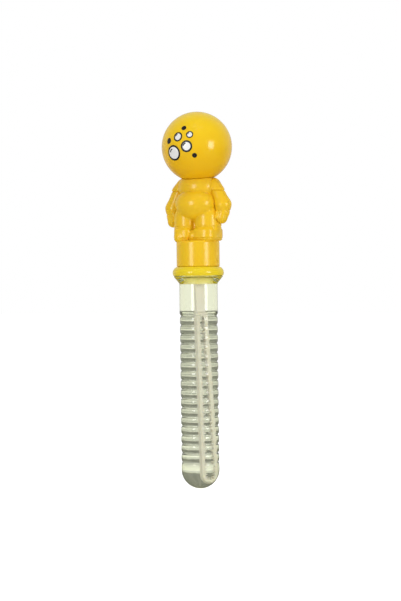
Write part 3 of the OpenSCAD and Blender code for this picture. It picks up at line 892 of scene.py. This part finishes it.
def make_doll():
    for name, node, distance, near, far in (
        ("doll_front", "figure_front", front_distance, -GRID_REACH[1], GRID_MARGIN),
        ("doll_back", "figure_back", back_distance, -GRID_MARGIN, GRID_REACH[1]),
    ):
        lowest = (-GRID_REACH[0], near, -COLLAR_H - GRID_MARGIN)
        highest = (GRID_REACH[0], far, GRID_REACH[2])
        points, faces = skin(distance, lowest, highest, GRID_STEP)
        half = new_piece(name, points + np.array((0, 0, DOLL_Z)), faces, BODY_YELLOW)
        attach(half, "cap_and_wand")
        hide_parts(node)


# Head

HEAD_WALL = 1.6
BUSH_BORE_R = 4.95
BUSH_R = 6.95
BUSH_H = 4.4


def make_head():
    mouth = math.degrees(math.asin(BUSH_BORE_R / HEAD_R))
    inner_r = HEAD_R - HEAD_WALL
    bush_angle = math.degrees(math.asin(BUSH_R / inner_r))
    bush_top = HEAD_Z - HEAD_R + BUSH_H
    # From the pole inside, down to the bush and out of its bore, and up to the pole outside
    outline = [(0, HEAD_Z + inner_r)]
    outline += arc((0, HEAD_Z), inner_r, 90, -90 + bush_angle, steps=60)[1:]
    outline += [(BUSH_R, bush_top), (BUSH_BORE_R, bush_top)]
    outline += arc((0, HEAD_Z), HEAD_R, -90 + mouth, 90, steps=88)[:-1]
    outline += [(0, HEAD_Z + HEAD_R)]
    head = lathe("ball_head_shell", outline, HEAD_YELLOW, segments=160)
    smooth_by_angle(head)
    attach(head, "ball_head")
    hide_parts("head")


# Printed bubbles on the front of the head: turn from straight ahead, height angle and radius in millimetres
BUBBLES = [(-13, -12, 5.2), (12, -2, 3.9), (-4, 14, 3.2), (17, 17, 2.4), (-23, 8, 2.0), (5, 29, 1.7),
           (25, -17, 1.6)]
SOLID_UNDER = 2.1
# Bubbles smaller than the second radius have a thinner line
PRINT_LINE = 1.2
FULL_LINE_R = 4.0
PRINT_LIFT = 0.05
# The glint's radius and line as shares of the bubble's, and its two ends in degrees
GLINT_R = 0.45
GLINT_LINE = 0.7
GLINT_ENDS = (105, 170)
GLINT_LIFT = 0.09
# Degrees between points round a bubble of 1 mm, the step across a line, and the fewest steps of both
PRINT_TURN = 16
PRINT_STEP = 0.35
LEAST_AROUND = 12
LEAST_ACROSS = 2
# A disc keeps a hole too small to see in its middle
DISC_HOLE_R = 0.02


def spot_on_head(turn, rise, reach, angle, lift):
    """A point on the head, at an arc of the given reach from a place on it."""
    t, e = math.radians(turn), math.radians(rise)
    ahead = Vector((math.sin(t) * math.cos(e), -math.cos(t) * math.cos(e), math.sin(e)))
    across = Vector((math.cos(t), math.sin(t), 0))
    up = ahead.cross(across)
    away = across * math.cos(angle) + up * math.sin(angle)
    spot = (ahead * math.cos(reach) + away * math.sin(reach)) * (HEAD_R + lift)
    return (spot.x, spot.y, spot.z + HEAD_Z)


def band(turn, rise, inner_r, outer_r, start=0.0, end=360.0, top=PRINT_LIFT):
    """Points and faces of a thin raised band of ink.

    It is a ring, a disc where the inner radius is 0, or an arc.
    """
    whole = end - start >= 360
    around = max(LEAST_AROUND, round(outer_r * (end - start) / PRINT_TURN))
    across = max(LEAST_ACROSS, round((outer_r - inner_r) / PRINT_STEP))
    turns = np.radians(np.linspace(start, end, around + 1))[:around if whole else None]
    points, faces = [], []
    levels = [(inner_r, -PRINT_LIFT)]
    levels += [(inner_r + (outer_r - inner_r) * i / across, top) for i in range(across + 1)]
    levels += [(outer_r, -PRINT_LIFT)]
    for radius, lift in levels:
        reach = max(radius, DISC_HOLE_R) / HEAD_R
        points += [spot_on_head(turn, rise, reach, a, lift) for a in turns]
    n, m = len(turns), len(levels)
    for k in range(m):
        for i in range(n if whole else n - 1):
            j = (i + 1) % n
            after = (k + 1) % m
            faces.append((k * n + i, k * n + j, after * n + j, after * n + i))
    if not whole:
        faces += [[k * n for k in range(m)], [k * n + n - 1 for k in range(m)][::-1]]
    return points, faces


def print_piece(name, bands, material):
    points, faces = [], []
    for more_points, more_faces in bands:
        faces += [[i + len(points) for i in f] for f in more_faces]
        points += more_points
    piece = new_piece(name, points, faces, material)
    face_outwards(piece.data)
    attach(piece, "ball_head")


def make_print():
    """Small bubbles are solid. The others are white discs in a black line with a glint at the upper left."""
    white, black = [], []
    for turn, rise, radius in BUBBLES:
        if radius < SOLID_UNDER:
            black.append(band(turn, rise, 0, radius))
            continue
        line = PRINT_LINE * min(1, radius / FULL_LINE_R)
        glint = radius * GLINT_R
        white.append(band(turn, rise, 0, radius - line))
        black.append(band(turn, rise, radius - line, radius))
        black.append(band(turn, rise, glint, glint + line * GLINT_LINE, *GLINT_ENDS, GLINT_LIFT))
    print_piece("bubble_print_white", white, PRINT_WHITE)
    print_piece("bubble_print_black", black, PRINT_BLACK)


def dress_cad_nodes():
    for node, material in (("plug", NATURAL_PLUG), ("neck_pin", PIN_YELLOW)):
        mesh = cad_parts[node].data
        mesh.materials.clear()
        mesh.materials.append(material)


# Stage

# The camera's angles are in degrees, its distance in metres and what it aims at in millimetres
CAMERA_TURN = 29.0
CAMERA_RISE = 0.6
CAMERA_ROLL = 0.66
CAMERA_BACK = 1.4
AIM_Z = 123.6
AIM_RIGHT = 1.24
SENSOR_W = 36.0
# Scale and height of the photograph
MM_PER_PIXEL = 0.658
PHOTO_H = 601

# Below, lengths are in metres
LAMP_AIM_Z = 0.2
FLOOR_HALF = 6.0
# Where the floor changes, for what is seen through clear pieces and for what is mirrored
# Clear pieces see the floor darkened close to the object: a painted shadow
PAINTED_SHADOW_ENDS = (0.05, 0.2)
# Further off, clear pieces see the floor glow less in a band: a painted grey band of shade
SHADE_BAND_STARTS = (0.2, 0.35)
SHADE_BAND_ENDS = (2.5, 4.0)
MIRROR_STARTS = (0.25, 0.9)
# Rise of a ray over which the horizon darkens, seen through clear pieces
HORIZON_ENDS = (0.006, 0.02)
# How far a ray points away from the camera, from across to behind
BEHIND = (0.0, 0.6)


def direction(turn, rise):
    """Unit vector from the object, with the turn counted as the camera's."""
    a, e = math.radians(turn), math.radians(rise)
    return Vector((math.sin(a) * math.cos(e), -math.cos(a) * math.cos(e), math.sin(e)))


def make_camera():
    data = bpy.data.cameras.new("camera")
    data.sensor_width = SENSOR_W
    data.lens = SENSOR_W * CAMERA_BACK / (MM_PER_PIXEL * MM * PHOTO_H)
    camera = bpy.data.objects.new("camera", data)
    back = direction(CAMERA_TURN, CAMERA_RISE)
    right = Vector((math.cos(math.radians(CAMERA_TURN)), math.sin(math.radians(CAMERA_TURN)), 0))
    camera.location = Vector((0, 0, AIM_Z * MM)) + right * AIM_RIGHT * MM + back * CAMERA_BACK
    aim = (-back).to_track_quat("-Z", "Y").to_matrix().to_4x4()
    camera.rotation_euler = (aim @ Matrix.Rotation(math.radians(-CAMERA_ROLL), 4, "Z")).to_euler()
    bpy.context.scene.collection.objects.link(camera)
    bpy.context.scene.camera = camera


def softbox(name, turn, rise, width, height, power, away=0.9, mirrored=True):
    """A soft lamp that glossy pieces may mirror, and that is never seen through a clear one."""
    data = bpy.data.lights.new(name, "AREA")
    data.shape = "RECTANGLE"
    data.size = width
    data.size_y = height
    data.energy = power
    lamp = bpy.data.objects.new(name, data)
    way = direction(CAMERA_TURN + turn, rise)
    lamp.location = Vector((0, 0, LAMP_AIM_Z)) + way * away
    lamp.rotation_euler = (-way).to_track_quat("-Z", "Y").to_euler()
    lamp.visible_glossy = mirrored
    lamp.visible_transmission = False
    bpy.context.scene.collection.objects.link(lamp)


def behind_object(tree, way):
    """From 1 for a direction that points away from the camera to -1 for one that points at it."""
    return add_node(tree, "ShaderNodeVectorMath", "DOT_PRODUCT", i0=way,
                    i1=-direction(CAMERA_TURN, 0)).outputs["Value"]


def make_world(fill=0.54, mirrored=0.15, mirrored_behind=0.6, horizon=0.95, over=0.28):
    """White for the camera, and mirrored brighter from behind the object than from in front.

    Clear pieces see it white at the horizon and dim above that.
    """
    world = bpy.data.worlds.new("white_room")
    bpy.context.scene.world = world
    world.use_nodes = True
    tree = world.node_tree
    path = tree.nodes.new("ShaderNodeLightPath").outputs
    way = tree.nodes.new("ShaderNodeTexCoord").outputs["Generated"]
    height = add_node(tree, "ShaderNodeSeparateXYZ", Vector=way).outputs["Z"]
    through = spread(tree, height, *HORIZON_ENDS, horizon, over)
    mirror = spread(tree, behind_object(tree, way), *BEHIND, mirrored, mirrored_behind)
    light = spread(tree, path["Is Glossy Ray"], 0.0, 1.0, fill, mirror)
    shown = spread(tree, path["Is Transmission Ray"], 0.0, 1.0, light, through)
    strength = maths(tree, "MAXIMUM", shown, path["Is Camera Ray"])
    background = tree.nodes["Background"]
    background.inputs["Color"].default_value = (1, 1, 1, 1)
    tree.links.new(strength, background.inputs["Strength"])


# Where glossy pieces mirror the floor in front, its colour is darkened: painted shade
def make_floor(pale=0.8, glow=0.62, through_glow=0.5, shade_band_glow=0.1, mirrored_shade=0.9, painted_shadow_dim=0.7):
    """A pale floor that the camera sees as white, except in the object's shadow.

    Clear pieces see it darkened close by in a painted shadow, then white, then in a painted grey band of
    shade, and white again far off. Glossy pieces see it darkened in front, which is painted shade, and white
    far behind.
    """
    material, tree, shader = new_material("pale_floor")
    shader.inputs["Roughness"].default_value = 0.9
    shader.inputs["Specular IOR Level"].default_value = 0.0
    shader.inputs["Emission Color"].default_value = (1, 1, 1, 1)
    path = tree.nodes.new("ShaderNodeLightPath").outputs
    place = tree.nodes.new("ShaderNodeTexCoord").outputs["Object"]
    away = add_node(tree, "ShaderNodeVectorMath", "LENGTH", i0=place).outputs["Value"]
    way = add_node(tree, "ShaderNodeVectorMath", "NORMALIZE", i0=place).outputs["Vector"]
    # The band of painted shade that clear pieces see on the floor
    middle = maths(tree, "MULTIPLY", spread(tree, away, *SHADE_BAND_STARTS, 0.0, 1.0),
                   spread(tree, away, *SHADE_BAND_ENDS, 1.0, 0.0))
    through = spread(tree, middle, 0.0, 1.0, through_glow, shade_band_glow)
    far = maths(tree, "MULTIPLY", spread(tree, away, *MIRROR_STARTS, 0.0, through_glow),
                spread(tree, behind_object(tree, way), *BEHIND, 0.0, 1.0))
    mirror = maths(tree, "MULTIPLY", path["Is Glossy Ray"], far)
    strength = maths(tree, "ADD", maths(tree, "MULTIPLY", path["Is Camera Ray"], glow),
                     spread(tree, path["Is Transmission Ray"], 0.0, 1.0, mirror, through))
    tree.links.new(strength, shader.inputs["Emission Strength"])
    # The floor's colour is darkened by ray: a painted shadow close by for clear pieces, painted shade in
    # front for glossy ones
    dim = spread(tree, path["Is Transmission Ray"], 0.0, 1.0,
                 maths(tree, "MULTIPLY", path["Is Glossy Ray"], mirrored_shade),
                 spread(tree, away, *PAINTED_SHADOW_ENDS, painted_shadow_dim, 0.0))
    tree.links.new(spread(tree, dim, 0.0, 1.0, pale, 0.0), shader.inputs["Base Color"])
    mesh = bpy.data.meshes.new("floor")
    corners = [(x * FLOOR_HALF, y * FLOOR_HALF, 0) for x, y in ((-1, -1), (1, -1), (1, 1), (-1, 1))]
    mesh.from_pydata(corners, [], [(0, 1, 2, 3)])
    mesh.materials.append(material)
    floor = bpy.data.objects.new("floor", mesh)
    bpy.context.scene.collection.objects.link(floor)


def make_stage():
    make_camera()
    make_world()
    make_floor()
    softbox("left_softbox", turn=-37, rise=4, width=0.26, height=0.34, power=1.9)
    softbox("right_softbox", turn=46, rise=4, width=0.28, height=0.34, power=2.1)
    softbox("top_softbox", turn=5, rise=66, width=0.4, height=0.4, power=1.8, mirrored=False)
    softbox("back_softbox", turn=185, rise=25, width=0.4, height=0.4, power=1.9, mirrored=False)
    bpy.context.scene.view_settings.view_transform = "Standard"


make_stage()
make_tube()
make_solution()
make_wand()
make_cap_ring()
make_doll()
make_head()
make_print()
dress_cad_nodes()
